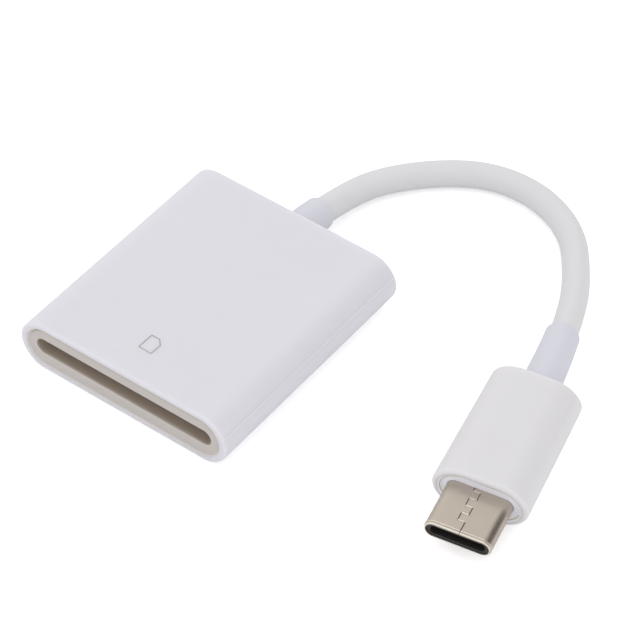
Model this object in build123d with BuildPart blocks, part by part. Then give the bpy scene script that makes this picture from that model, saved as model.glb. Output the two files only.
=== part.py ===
"""Pocket memory card reader with a short captive cable and a reversible plug.

All sizes are in millimetres. The origin is on the table under the middle of the
housing. X runs across the card slot, Y runs from the slot to the cable and Z is up.
"""

import os
from math import cos, hypot, pi, radians, sin, tan

from build123d import *

os.makedirs("parts", exist_ok=True)

# Clearance between pieces that slide into each other
fit = 0.03

# The card that the slot and the socket are made for
card_width = 24.0
card_thickness = 2.1

# Card socket: a plastic tray under a bent sheet shield
channel_side_play = 0.15
channel_top_play = 0.25
socket_length = 20.5
socket_floor = 0.5
socket_rail = 0.8
socket_rear_wall = 1.0
shield_sheet = 0.2
shield_setback = 0.6
tongue_length = 6.0
tongue_width = 2.2
tongue_slit = 0.35
tongue_x = 6.0
channel_width = card_width + 2 * channel_side_play
channel_height = card_thickness + channel_top_play
socket_width = channel_width + 2 * socket_rail
shield_inner_width = socket_width + 2 * fit
shield_width = shield_inner_width + 2 * shield_sheet

# Main board: as wide as the shield, longer than the socket
board_thickness = 0.6
board_under_room = 0.645
board_tail = 8.05
board_rear_gap = 0.4
board_corner = 0.8
board_width = shield_width
board_length = socket_length + board_tail

# Bezel that closes the front and guides the card
bezel_recess = 0.22
bezel_depth = 2.6
bezel_edge_round = 0.15
slot_play = 0.2
slot_edge_round = 0.12
slot_height = card_thickness + slot_play
slot_width = card_width + slot_height

# Strain reliefs, moulded round the ends of the cable
cable_radius = 1.725
relief_neck_wall = 0.275
relief_flange = 1.0
relief_tip_round = 0.35
housing_relief_tip_wall = 0.425
housing_relief_root_wall = 0.575
housing_relief_flange_step = 0.6
housing_relief_bend_radius = 25.0
housing_relief_bend = 12.0
plug_relief_tip_wall = 0.395
plug_relief_root_wall = 0.675
plug_relief_flange_room = 0.1
plug_relief_bend_radius = 95.0
plug_relief_bend = 6.0
relief_neck_radius = cable_radius + relief_neck_wall

# Housing sleeve: a flattened tube round the socket and the board, closed at the rear
side_room = 1.37
side_wall = 0.95
top_wall = 0.68
rear_wall = 1.2
front_round_share = 0.44
front_inner_share = 0.1
rear_round = 0.3
rib_width = 1.2
rib_x = 10.2
rib_front_gap = 1.0
rib_rear_gap = 1.87
front_round = front_round_share * top_wall
front_inner_round = front_inner_share * top_wall
cavity_width = shield_width + 2 * side_room
cavity_height = channel_height + 2 * (socket_floor + board_thickness + board_under_room)
housing_width = cavity_width + 2 * side_wall
housing_height = cavity_height + 2 * top_wall
board_reach = bezel_recess + bezel_depth + fit + board_length
housing_length = board_reach + board_rear_gap + relief_flange + rear_wall

# Heights and lengths that the pieces in the housing share
mid_z = housing_height / 2
channel_floor_z = mid_z - channel_height / 2
channel_top_z = mid_z + channel_height / 2
board_top_z = channel_floor_z - socket_floor
board_bottom_z = board_top_z - board_thickness
shield_under_z = channel_top_z + fit
shield_top_z = shield_under_z + shield_sheet
front_y = -housing_length / 2
rear_y = housing_length / 2
cavity_rear_y = rear_y - rear_wall
relief_inner_y = cavity_rear_y - relief_flange
bezel_front_y = front_y + bezel_recess
bezel_back_y = bezel_front_y + bezel_depth
socket_front_y = bezel_back_y + fit
socket_rear_y = socket_front_y + socket_length
board_rear_y = socket_front_y + board_length

# Spring contacts that touch the pads of the card
contact_count = 9
contact_margin = 2.15
contact_width = 0.8
contact_sheet = 0.15
contact_slot_play = 0.2
contact_foot = 1.2
contact_flat = 1.5
contact_arm = 5.2
contact_rise = 0.55
contact_tip = 6.0
contact_tip_rise = 0.2
contact_slot_end = 0.6
contact_pitch = (channel_width - 2 * contact_margin) / (contact_count - 1)
contact_slot_width = contact_width + 2 * contact_slot_play
contact_slot_length = contact_tip + contact_slot_end

# Leaf springs of the card-present and write-lock switches, in the left rail
front_switch_start = 6.0
rear_switch_gap = 1.4
switch_pocket_length = 4.6
switch_pocket_room = 0.2
switch_leaf_height = 0.8
switch_root = 1.0
switch_bump_y = 3.0
switch_bump_out = 0.25
switch_end_y = 4.2
switch_end_in = 0.45
switch_pocket_height = switch_leaf_height + 2 * switch_pocket_room

# Parts on the board behind the socket: X, and distance ahead of the board's rear edge
chip_size = 4.0
chip_height = 0.85
chip_bevel = 0.12
chip_dot_radius = 0.25
chip_dot_depth = 0.08
chip_dot_inset = 0.7
chip_place = (-7.4, 3.4)
crystal_length = 3.2
crystal_width = 2.5
crystal_base = 0.45
crystal_lid = 0.3
crystal_lid_inset = 0.15
crystal_place = (6.6, 3.4)
small_part_length = 1.0
small_part_width = 0.5
capacitor_height = 0.5
resistor_height = 0.35
capacitor_places = ((-11.2, 5.2), (-11.2, 1.7), (-3.9, 5.4), (4.1, 5.4), (9.9, 5.0), (9.9, 1.8))
resistor_places = ((-4.2, 1.4), (4.2, 1.4), (0.0, 5.4))
peg_radius = 0.5
peg_x = 9.0
front_peg = 4.0
rear_peg = 12.0

# Insulated wires at both ends of the cable
wire_radius = 0.42
wire_lift = 0.02
wire_spread = 0.6
wire_bend_radius = 0.45
wire_start_run = 0.6
board_wire_bend = 2.6
board_wire_end = 3.6
inner_pad_x = 0.9
outer_pad_x = 2.7
plug_wire_bend = 0.9
plug_wire_end = 1.7
plug_pad_x = 1.6

# Plug shell: one rolled sheet with an interlocking seam on top
shell_width = 8.25
shell_height = 2.4
shell_sheet = 0.25
shell_reach = 6.65
shell_overlap = 1.1
shell_lip_length = 0.22
shell_lip_bevel = 0.08
seam_gap = 0.05
seam_bevel = 0.05
seam_bevel_angle = 45
seam_left_x = -0.77
seam_right_x = 0.14
seam_first_step = 1.8
seam_step = 1.18
seam_steps = 7
shell_inner_width = shell_width - 2 * shell_sheet
shell_inner_height = shell_height - 2 * shell_sheet
shell_lip_width = shell_width - 2 * shell_lip_bevel
shell_lip_height = shell_height - 2 * shell_lip_bevel

# Plug inside: insulator, contact rows, latch plate and small board
insulator_setback = 0.15
insulator_rear = 3.4
insulator_side = 0.495
insulator_wall = 0.32
insulator_corner = 0.45
pin_places = 12
pin_side_gap = 0.3
pin_width = 0.25
pin_sheet = 0.12
upper_pins = (1, 4, 5, 6, 7, 9, 12)
lower_pins = (1, 4, 5, 9, 12)
pin_tip = 0.95
pin_dip_at = 1.45
pin_straight_at = 2.45
pin_dip = 0.26
pin_tip_dip = 0.14
pin_rear_bend = 0.4
pin_foot_start = 0.1
pin_foot_end = 1.9
latch_sheet = 0.2
latch_arm = 0.3
latch_setback = 1.65
latch_bar = 0.8
latch_hook = 0.25
latch_hook_length = 0.7
plug_board_room = 0.175
plug_board_thickness = 0.6
plug_board_gap = 1.1
plug_board_length = 7.0
plug_resistor_place = (0.0, 3.7)
insulator_cavity_width = shell_inner_width - 2 * (fit + insulator_side)
insulator_cavity_height = shell_inner_height - 2 * (fit + insulator_wall)
insulator_front = insulator_setback - shell_reach
latch_half = insulator_cavity_width / 2
latch_inner = latch_half - latch_arm
pin_pitch = 2 * (latch_inner - pin_side_gap) / (pin_places - 1)
plug_board_width = shell_inner_width - 2 * plug_board_room
plug_board_front = insulator_rear + plug_board_gap
plug_board_rear = plug_board_front + plug_board_length
shell_tail = plug_board_front + shell_overlap

# Plug cover: tapered, with a cap that holds the shell, leaning on one edge as the stiff cable holds it
plug_front = (42.74, -4.98)
plug_turn = 12.67
plug_lean = 3.2
cap_side = 0.84
cap_top = 1.14
cap_recess = 0.6
cap_depth = 4.0
cap_edge_round = 0.15
cover_side_wall = 0.95
cover_top_wall = 0.8
cover_rear_wall = 1.2
cover_taper = 0.225
cover_end_depth = 4.0
cover_front_share = 0.56
cover_inner_share = 0.38
cover_rear_round = 0.25
wire_room = 4.5
cover_front_round = cover_front_share * cover_top_wall
cover_inner_round = cover_inner_share * cover_top_wall
cover_cavity_width = shell_width + 2 * (cap_side + 2 * fit)
cover_cavity_height = shell_height + 2 * (cap_top + 2 * fit)
cover_cavity_end = cover_end_depth - cover_side_wall
cover_front_width = cover_cavity_width + 2 * cover_side_wall
cover_rear_width = cover_front_width - 2 * cover_taper
cover_height = cover_cavity_height + 2 * cover_top_wall
plug_wire_start = plug_board_rear + wire_room
cover_cavity_rear = plug_wire_start + relief_flange
cover_length = cover_cavity_rear + cover_rear_wall

# Height of the plug's middle, with its cover leaning on the table
cover_flat_rise = (cover_front_width / 2 - cover_end_depth) * sin(radians(plug_lean))
cover_end_rise = cover_end_depth * sin(radians(plug_lean))
cover_half_rise = cover_height / 2 * cos(radians(plug_lean))
plug_axis_z = cover_flat_rise + hypot(cover_end_rise, cover_half_rise)

# Route of the cable between the two reliefs, on the table in the middle
cable_first_run = 5.23
cable_last_run = 4.8
cable_points = (
    (1.8, 32.2, 2.0),
    (6.4, 38.0, 1.8),
    (12.4, 42.0, 1.8),
    (19.6, 42.5, 1.8),
    (26.5, 39.2, 2.0),
    (31.3, 32.8, 2.5),
)
arc_share = 0.45


def section(y):
    """Plane across the housing at a given Y, centred on the slot height."""
    return Plane(origin=(0, y, mid_z), x_dir=(1, 0, 0), z_dir=(0, -1, 0))


def on_board(place):
    """Position on the board from X and the distance ahead of its rear edge."""
    x, ahead = place
    return (x, board_rear_y - ahead)


# The plug has its own axes, turned and leaning: X across it and Y from its front to its rear
plug_axes = Plane(
    origin=(*plug_front, plug_axis_z),
    x_dir=(cos(radians(plug_turn)), sin(radians(plug_turn)), 0),
    z_dir=(0, 0, 1),
).rotated((0, plug_lean, 0))
plug_way = Axis(plug_axes.origin, plug_axes.y_dir)


def plug_section(y):
    """Plane across the plug at a given distance behind its front."""
    origin = plug_axes.from_local_coords((0, y, 0))
    return Plane(origin=origin, x_dir=plug_axes.x_dir, z_dir=-plug_axes.y_dir)


def plug_side(x):
    """Plane along the plug at a given distance from its middle, with the plug's Y and Z."""
    origin = plug_axes.from_local_coords((x, 0, 0))
    return Plane(origin=origin, x_dir=plug_axes.y_dir, z_dir=plug_axes.x_dir)


def plug_outline(width, height, end_depth):
    """Face with a flat top and bottom and half ellipses at both ends."""
    flat = width / 2 - end_depth
    with BuildLine() as outline:
        Line((-flat, height / 2), (flat, height / 2))
        EllipticalCenterArc((flat, 0), end_depth, height / 2, -90, arc_size=180)
        Line((flat, -height / 2), (-flat, -height / 2))
        EllipticalCenterArc((-flat, 0), end_depth, height / 2, 90, arc_size=180)
    make_face(outline.edges())


def corner_radii(points):
    """Radius of the tangent arc at each inner point, from the shorter run beside it."""
    runs = [Vector(b) - Vector(a) for a, b in zip(points, points[1:])]
    return [
        arc_share * min(a.length, b.length) / tan(radians(a.get_angle(b)) / 2)
        for a, b in zip(runs, runs[1:])
    ]


def save(piece, name):
    """Label the finished piece and write its file."""
    piece.part.label = name
    export_step(piece.part, f"parts/{name}.step")


# Housing sleeve, with ribs that carry the board and hold the shield down
rib_front_y = bezel_back_y + rib_front_gap
rib_length = board_rear_y - rib_rear_gap - rib_front_y
rib_y = rib_front_y + rib_length / 2
with BuildPart() as housing_sleeve:
    with BuildSketch(section(front_y)):
        SlotOverall(housing_width, housing_height)
    extrude(amount=-housing_length)
    fillet(faces().sort_by(Axis.Y)[0].edges(), front_round)
    fillet(faces().sort_by(Axis.Y)[-1].edges(), rear_round)
    with BuildSketch(section(front_y)):
        SlotOverall(cavity_width, cavity_height)
    extrude(amount=-(housing_length - rear_wall), mode=Mode.SUBTRACT)
    fillet(faces().sort_by(Axis.Y)[0].inner_wires().edges(), front_inner_round)
    with BuildSketch(section(rear_y)):
        Circle(relief_neck_radius + fit)
    extrude(amount=rear_wall, mode=Mode.SUBTRACT)
    with BuildSketch(Plane.XY.offset(top_wall)):
        with Locations((-rib_x, rib_y), (rib_x, rib_y)):
            Rectangle(rib_width, rib_length)
    extrude(amount=board_bottom_z - top_wall)
    with BuildSketch(Plane.XY.offset(housing_height - top_wall)):
        with Locations((-rib_x, rib_y), (rib_x, rib_y)):
            Rectangle(rib_width, rib_length)
    extrude(amount=shield_top_z + fit - (housing_height - top_wall))
save(housing_sleeve, "housing_sleeve")

# Bezel with the card slot
with BuildPart() as slot_bezel:
    with BuildSketch(section(bezel_front_y)):
        SlotOverall(cavity_width - 2 * fit, cavity_height - 2 * fit)
    extrude(amount=-bezel_depth)
    fillet(faces().sort_by(Axis.Y)[0].edges(), bezel_edge_round)
    with BuildSketch(section(bezel_front_y)):
        SlotOverall(slot_width, slot_height)
    extrude(amount=-bezel_depth, mode=Mode.SUBTRACT)
    fillet(faces().sort_by(Axis.Y)[0].inner_wires().edges(), slot_edge_round)
save(slot_bezel, "slot_bezel")

# Main board with two holes for the socket pegs
peg_places = ((-peg_x, socket_front_y + front_peg), (peg_x, socket_front_y + rear_peg))
with BuildPart() as main_board:
    with BuildSketch(Plane.XY.offset(board_bottom_z)):
        with Locations((0, socket_front_y + board_length / 2)):
            Rectangle(board_width, board_length)
        chamfer(vertices(), board_corner)
        with Locations(*peg_places):
            Circle(peg_radius + fit, mode=Mode.SUBTRACT)
    extrude(amount=board_thickness)
save(main_board, "main_board")

# Card socket tray: floor, two rails, rear wall, contact slots, switch pockets and pegs
contact_xs = [(i - (contact_count - 1) / 2) * contact_pitch for i in range(contact_count)]
switch_ys = (
    socket_front_y + front_switch_start,
    socket_rear_y - rear_switch_gap - switch_pocket_length,
)
socket_mid_y = (socket_front_y + socket_rear_y) / 2
rail_x = (channel_width + socket_rail) / 2
with BuildPart() as socket_base:
    with BuildSketch(Plane.XY.offset(board_top_z)):
        with Locations((0, socket_mid_y)):
            Rectangle(socket_width, socket_length)
    extrude(amount=socket_floor)
    with BuildSketch(Plane.XY.offset(channel_floor_z)):
        with Locations((-rail_x, socket_mid_y), (rail_x, socket_mid_y)):
            Rectangle(socket_rail, socket_length)
        with Locations((0, socket_rear_y - socket_rear_wall / 2)):
            Rectangle(socket_width, socket_rear_wall)
    extrude(amount=channel_height)
    with BuildSketch(Plane.XY.offset(board_top_z)):
        with Locations(*[(x, socket_rear_y - contact_slot_length / 2) for x in contact_xs]):
            Rectangle(contact_slot_width, contact_slot_length)
    extrude(amount=socket_floor, mode=Mode.SUBTRACT)
    with BuildSketch(Plane.XY.offset(mid_z)):
        with Locations(*[(-rail_x, y + switch_pocket_length / 2) for y in switch_ys]):
            Rectangle(socket_rail, switch_pocket_length)
    extrude(amount=switch_pocket_height / 2, both=True, mode=Mode.SUBTRACT)
    with BuildSketch(Plane.XY.offset(board_top_z)):
        with Locations(*peg_places):
            Circle(peg_radius)
    extrude(amount=-board_thickness)
save(socket_base, "socket_base")

# Shield: a sheet bent over the tray, with two tongues that press on the card
shield_length = socket_length - shield_setback
shield_mid_y = socket_rear_y - shield_length / 2
tongue_front_y = shield_mid_y + tongue_slit
with BuildPart() as socket_shield:
    with BuildSketch(Plane.XY.offset(board_top_z)):
        with Locations((0, shield_mid_y)):
            Rectangle(shield_width, shield_length)
    extrude(amount=shield_top_z - board_top_z)
    fillet(edges().filter_by(Axis.Y).group_by(Axis.Z)[-1], shield_sheet)
    with BuildSketch(Plane.XY.offset(board_top_z)):
        with Locations((0, shield_mid_y)):
            Rectangle(shield_inner_width, shield_length)
    extrude(amount=shield_under_z - board_top_z, mode=Mode.SUBTRACT)
    with BuildSketch(Plane.XY.offset(shield_under_z)):
        with Locations((-tongue_x, shield_mid_y), (tongue_x, shield_mid_y)):
            Rectangle(tongue_width + 2 * tongue_slit, tongue_length)
        with Locations((-tongue_x, tongue_front_y), (tongue_x, tongue_front_y)):
            Rectangle(tongue_width, tongue_length, mode=Mode.SUBTRACT)
    extrude(amount=shield_sheet, mode=Mode.SUBTRACT)
save(socket_shield, "socket_shield")

# Card contacts: one bent strip for each pad
with BuildPart() as socket_contacts:
    with BuildSketch(*[Plane.YZ.offset(x) for x in contact_xs]):
        with BuildLine():
            Polyline(
                (socket_rear_y + contact_foot, board_top_z + contact_sheet / 2),
                (socket_rear_y - contact_flat, board_top_z + contact_sheet / 2),
                (socket_rear_y - contact_arm, channel_floor_z + contact_rise),
                (socket_rear_y - contact_tip, channel_floor_z + contact_tip_rise),
            )
        trace(line_width=contact_sheet)
    extrude(amount=contact_width / 2, both=True)
save(socket_contacts, "socket_contacts")

# Switch leaf springs in the pockets of the left rail
with BuildPart() as socket_switch_springs:
    with BuildSketch(*[Plane.XY.offset(mid_z).shift_origin((-rail_x, y, mid_z)) for y in switch_ys]):
        with BuildLine():
            Polyline(
                (0, 0),
                (0, switch_root),
                (socket_rail / 2 + switch_bump_out, switch_bump_y),
                (socket_rail / 2 - switch_end_in, switch_end_y),
            )
        trace(line_width=contact_sheet)
    extrude(amount=switch_leaf_height / 2, both=True)
save(socket_switch_springs, "socket_switch_springs")

# Controller chip with a marked first corner
chip_x, chip_y = on_board(chip_place)
dot_offset = chip_size / 2 - chip_dot_inset
with BuildPart() as controller_chip:
    with BuildSketch(Plane.XY.offset(board_top_z)):
        with Locations((chip_x, chip_y)):
            Rectangle(chip_size, chip_size)
    extrude(amount=chip_height)
    chamfer(faces().sort_by(Axis.Z)[-1].edges(), chip_bevel)
    with BuildSketch(Plane.XY.offset(board_top_z + chip_height)):
        with Locations((chip_x - dot_offset, chip_y + dot_offset)):
            Circle(chip_dot_radius)
    extrude(amount=-chip_dot_depth, mode=Mode.SUBTRACT)
save(controller_chip, "controller_chip")

# Crystal: a ceramic base under a metal lid
with BuildPart() as crystal:
    with BuildSketch(Plane.XY.offset(board_top_z)):
        with Locations(on_board(crystal_place)):
            Rectangle(crystal_length, crystal_width)
    extrude(amount=crystal_base)
    with BuildSketch(Plane.XY.offset(board_top_z + crystal_base)):
        with Locations(on_board(crystal_place)):
            Rectangle(crystal_length - 2 * crystal_lid_inset, crystal_width - 2 * crystal_lid_inset)
    extrude(amount=crystal_lid)
save(crystal, "crystal")

# Small parts on the board
with BuildPart() as board_capacitors:
    with BuildSketch(Plane.XY.offset(board_top_z)):
        with Locations(*[on_board(place) for place in capacitor_places]):
            Rectangle(small_part_length, small_part_width)
    extrude(amount=capacitor_height)
save(board_capacitors, "board_capacitors")

with BuildPart() as board_resistors:
    with BuildSketch(Plane.XY.offset(board_top_z)):
        with Locations(*[on_board(place) for place in resistor_places]):
            Rectangle(small_part_length, small_part_width)
    extrude(amount=resistor_height)
save(board_resistors, "board_resistors")

# Strain relief of the housing: flange inside, neck in the wall, bent stub outside
with BuildPart() as housing_strain_relief:
    with BuildSketch(section(cavity_rear_y)):
        Circle(relief_neck_radius + housing_relief_flange_step)
    extrude(amount=relief_flange)
    with BuildSketch(section(cavity_rear_y)):
        Circle(relief_neck_radius)
    extrude(amount=-rear_wall)
    with BuildLine(Plane.YZ) as housing_relief_path:
        JernArc((rear_y, mid_z), (1, 0), housing_relief_bend_radius, -housing_relief_bend)
    housing_tip = housing_relief_path.line @ 1
    housing_tip_way = housing_relief_path.line % 1
    with BuildSketch(section(rear_y)):
        Circle(cable_radius + housing_relief_root_wall)
    with BuildSketch(Plane(origin=housing_tip, x_dir=(1, 0, 0), z_dir=-housing_tip_way)):
        Circle(cable_radius + housing_relief_tip_wall)
    sweep(path=housing_relief_path.line, multisection=True)
    fillet(edges().sort_by_distance(housing_tip)[0], relief_tip_round)
save(housing_strain_relief, "housing_strain_relief")

# Strain relief of the plug, built the same way on the plug's own axes
with BuildPart() as plug_strain_relief:
    with BuildSketch(plug_section(cover_cavity_rear)):
        Circle(cover_cavity_height / 2 - plug_relief_flange_room)
    extrude(amount=relief_flange)
    with BuildSketch(plug_section(cover_cavity_rear)):
        Circle(relief_neck_radius)
    extrude(amount=-cover_rear_wall)
    with BuildLine(plug_axes) as plug_relief_path:
        JernArc((0, cover_length), (0, 1), plug_relief_bend_radius, plug_relief_bend)
    plug_tip = plug_relief_path.line @ 1
    plug_tip_way = plug_relief_path.line % 1
    with BuildSketch(plug_section(cover_length)):
        Circle(cable_radius + plug_relief_root_wall)
    with BuildSketch(Plane(origin=plug_tip, x_dir=plug_tip_way.cross(plug_axes.z_dir), z_dir=-plug_tip_way)):
        Circle(cable_radius + plug_relief_tip_wall)
    sweep(path=plug_relief_path.line, multisection=True)
    fillet(edges().sort_by_distance(plug_tip)[0], relief_tip_round)
save(plug_strain_relief, "plug_strain_relief")

# Cable from one relief to the other: straight runs joined by tangent arcs
route = [
    housing_tip,
    housing_tip + housing_tip_way * cable_first_run,
    *cable_points,
    plug_tip + plug_tip_way * cable_last_run,
    plug_tip,
]
route_radii = corner_radii(route)
with BuildPart() as cable:
    with BuildLine() as cable_path:
        FilletPolyline(*route, radius=route_radii)
    with BuildSketch(Plane(origin=housing_tip, x_dir=(1, 0, 0), z_dir=housing_tip_way)):
        Circle(cable_radius)
    sweep(path=cable_path.line)
save(cable, "cable")

# Wires from the cable to the pads of the main board: start X and Z on the relief, pad X
board_wires = {
    "red": (-wire_spread, wire_spread, -outer_pad_x),
    "white": (-wire_spread, -wire_spread, -inner_pad_x),
    "green": (wire_spread, -wire_spread, inner_pad_x),
    "black": (wire_spread, wire_spread, outer_pad_x),
}
pad_z = board_top_z + wire_radius + wire_lift
for colour, (start_x, start_z, pad_x) in board_wires.items():
    with BuildPart() as board_wire:
        with BuildLine() as wire_path:
            FilletPolyline(
                (start_x, relief_inner_y, mid_z + start_z),
                (start_x, relief_inner_y - wire_start_run, mid_z + start_z),
                (pad_x, relief_inner_y - board_wire_bend, pad_z),
                (pad_x, relief_inner_y - board_wire_end, pad_z),
                radius=wire_bend_radius,
            )
        with BuildSketch(section(relief_inner_y)):
            with Locations((start_x, start_z)):
                Circle(wire_radius)
        sweep(path=wire_path.line)
    save(board_wire, f"board_wire_{colour}")

# Plug cover: a tapered sleeve, closed at the rear
with BuildPart() as plug_cover:
    with BuildSketch(plug_section(0)):
        plug_outline(cover_front_width, cover_height, cover_end_depth)
    with BuildSketch(plug_section(cover_length)):
        plug_outline(cover_rear_width, cover_height, cover_end_depth)
    loft()
    fillet(faces().sort_by(plug_way)[0].edges(), cover_front_round)
    fillet(faces().sort_by(plug_way)[-1].edges(), cover_rear_round)
    with BuildSketch(plug_section(0)):
        plug_outline(cover_cavity_width, cover_cavity_height, cover_cavity_end)
    extrude(amount=-cover_cavity_rear, mode=Mode.SUBTRACT)
    fillet(faces().sort_by(plug_way)[0].inner_wires().edges(), cover_inner_round)
    with BuildSketch(plug_section(cover_length)):
        Circle(relief_neck_radius + fit)
    extrude(amount=cover_rear_wall, mode=Mode.SUBTRACT)
save(plug_cover, "plug_cover")

# Front cap that holds the shell in the cover
with BuildPart() as plug_front_cap:
    with BuildSketch(plug_section(cap_recess)):
        plug_outline(cover_cavity_width - 2 * fit, cover_cavity_height - 2 * fit, cover_cavity_end - fit)
    extrude(amount=-cap_depth)
    fillet(faces().sort_by(plug_way)[0].edges(), cap_edge_round)
    with BuildSketch(plug_section(cap_recess)):
        SlotOverall(shell_width + 2 * fit, shell_height + 2 * fit)
    extrude(amount=-cap_depth, mode=Mode.SUBTRACT)
save(plug_front_cap, "plug_front_cap")

# Shell: a rolled tube with a stepped lead-in at the mouth and a bevelled, interlocking seam on top
seam = [(seam_right_x, -shell_reach)]
for step in range(seam_steps):
    step_y = seam_first_step + step * seam_step - shell_reach
    seam.append((seam[-1][0], step_y))
    seam.append((seam_left_x if step % 2 == 0 else seam_right_x, step_y))
seam.append((seam[-1][0], shell_tail))
shell_length = shell_reach + shell_tail
with BuildPart() as plug_shell:
    with BuildSketch(plug_section(shell_lip_length - shell_reach)):
        SlotOverall(shell_width, shell_height)
    extrude(amount=shell_lip_length - shell_length)
    chamfer(faces().sort_by(plug_way)[0].edges(), shell_lip_bevel)
    with BuildSketch(plug_section(-shell_reach)):
        SlotOverall(shell_lip_width, shell_lip_height)
    extrude(amount=-shell_lip_length)
    chamfer(faces().sort_by(plug_way)[0].edges(), shell_lip_bevel)
    with BuildSketch(plug_section(-shell_reach)):
        SlotOverall(shell_inner_width, shell_inner_height)
    extrude(amount=-shell_length, mode=Mode.SUBTRACT)
    with BuildSketch(plug_axes.offset(shell_height / 2)):
        with BuildLine():
            Polyline(*seam)
        trace(line_width=seam_gap)
    extrude(amount=-(shell_sheet + fit), mode=Mode.SUBTRACT)
    with BuildSketch(plug_axes.offset(shell_height / 2)):
        with BuildLine():
            Polyline(*seam)
        trace(line_width=seam_gap + 2 * seam_bevel)
    extrude(amount=-seam_bevel, taper=seam_bevel_angle, mode=Mode.SUBTRACT)
save(plug_shell, "plug_shell")

# Insulator that lines the shell
with BuildPart() as plug_insulator:
    with BuildSketch(plug_section(insulator_front)):
        SlotOverall(shell_inner_width - 2 * fit, shell_inner_height - 2 * fit)
        RectangleRounded(
            insulator_cavity_width, insulator_cavity_height, insulator_corner, mode=Mode.SUBTRACT
        )
    extrude(amount=insulator_front - insulator_rear)
save(plug_insulator, "plug_insulator")

# Contact rows: sprung strips above and below the middle of the plug
pin_middle = (pin_places + 1) / 2
pin_straight_z = (insulator_cavity_height - pin_sheet) / 2
pin_foot_z = (plug_board_thickness + pin_sheet) / 2
for row_name, pins, way in (("upper", upper_pins, 1), ("lower", lower_pins, -1)):
    with BuildPart() as contact_row:
        with BuildSketch(*[plug_side((pin - pin_middle) * pin_pitch) for pin in pins]):
            with BuildLine():
                Polyline(
                    (insulator_front + pin_tip, way * (pin_straight_z - pin_tip_dip)),
                    (insulator_front + pin_dip_at, way * (pin_straight_z - pin_dip)),
                    (insulator_front + pin_straight_at, way * pin_straight_z),
                    (insulator_rear + pin_rear_bend, way * pin_straight_z),
                    (plug_board_front + pin_foot_start, way * pin_foot_z),
                    (plug_board_front + pin_foot_end, way * pin_foot_z),
                )
            trace(line_width=pin_sheet)
        extrude(amount=pin_width / 2, both=True)
    save(contact_row, f"plug_{row_name}_contacts")

# Latch plate: two hooked arms joined by a bar at the rear of the insulator
latch_front = insulator_front + latch_setback
with BuildPart() as plug_latch:
    with BuildSketch(plug_axes):
        with BuildLine():
            Polyline(
                (latch_half, insulator_rear),
                (latch_half, latch_front),
                (latch_inner, latch_front),
                (latch_inner - latch_hook, latch_front + latch_hook_length),
                (latch_inner, latch_front + 2 * latch_hook_length),
                (latch_inner, insulator_rear - latch_bar),
                (0, insulator_rear - latch_bar),
                (0, insulator_rear),
                close=True,
            )
        make_face()
        mirror(about=Plane.YZ)
    extrude(amount=latch_sheet / 2, both=True)
save(plug_latch, "plug_latch")

# Small board behind the shell, with one resistor
with BuildPart() as plug_board:
    with BuildSketch(plug_axes):
        with Locations((0, plug_board_front + plug_board_length / 2)):
            Rectangle(plug_board_width, plug_board_length)
    extrude(amount=plug_board_thickness / 2, both=True)
save(plug_board, "plug_board")

plug_resistor_x, plug_resistor_back = plug_resistor_place
with BuildPart() as plug_resistor:
    with BuildSketch(plug_axes.offset(plug_board_thickness / 2)):
        with Locations((plug_resistor_x, plug_board_front + plug_resistor_back)):
            Rectangle(small_part_length, small_part_width)
    extrude(amount=resistor_height)
save(plug_resistor, "plug_resistor")

# Wires from the cable to the small board: two above it and two below
plug_wires = {
    "red": (-1, 1),
    "white": (-1, -1),
    "green": (1, -1),
    "black": (1, 1),
}
plug_wire_z = plug_board_thickness / 2 + wire_radius + wire_lift
for colour, (side, face_way) in plug_wires.items():
    with BuildPart() as plug_wire:
        with BuildLine(plug_axes) as wire_path:
            FilletPolyline(
                (side * wire_spread, plug_wire_start, face_way * wire_spread),
                (side * wire_spread, plug_wire_start - wire_start_run, face_way * wire_spread),
                (side * plug_pad_x, plug_board_rear + plug_wire_bend, face_way * plug_wire_z),
                (side * plug_pad_x, plug_board_rear - plug_wire_end, face_way * plug_wire_z),
                radius=wire_bend_radius,
            )
        with BuildSketch(plug_section(plug_wire_start)):
            with Locations((side * wire_spread, face_way * wire_spread)):
                Circle(wire_radius)
        sweep(path=wire_path.line)
    save(plug_wire, f"plug_wire_{colour}")

cable_length = sum(edge.length for edge in cable_path.edges())
print("housing", round(housing_width, 3), round(housing_length, 3), round(housing_height, 3))
print("cable length", round(cable_length, 2), "radii", [round(r, 1) for r in route_radii])
print("cable volume", round(cable.part.volume, 2), "against", round(pi * cable_radius**2 * cable_length, 2))
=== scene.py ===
# %% [markdown]
# # A pocket card reader, dressed for its photograph
# The imported solids already have the true shapes and sizes, so this lesson is about what a
# solid model lacks: finishes, print, mould marks, a soft cable and the light of a photo tent.
# The frame is loaded first, because every new piece is placed against it. Its box is kept now,
# before anything is added, and new pieces are placed against its sides.

# %% Load the imported part
import math

import bpy
import numpy as np
from mathutils import Matrix, Vector


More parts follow.
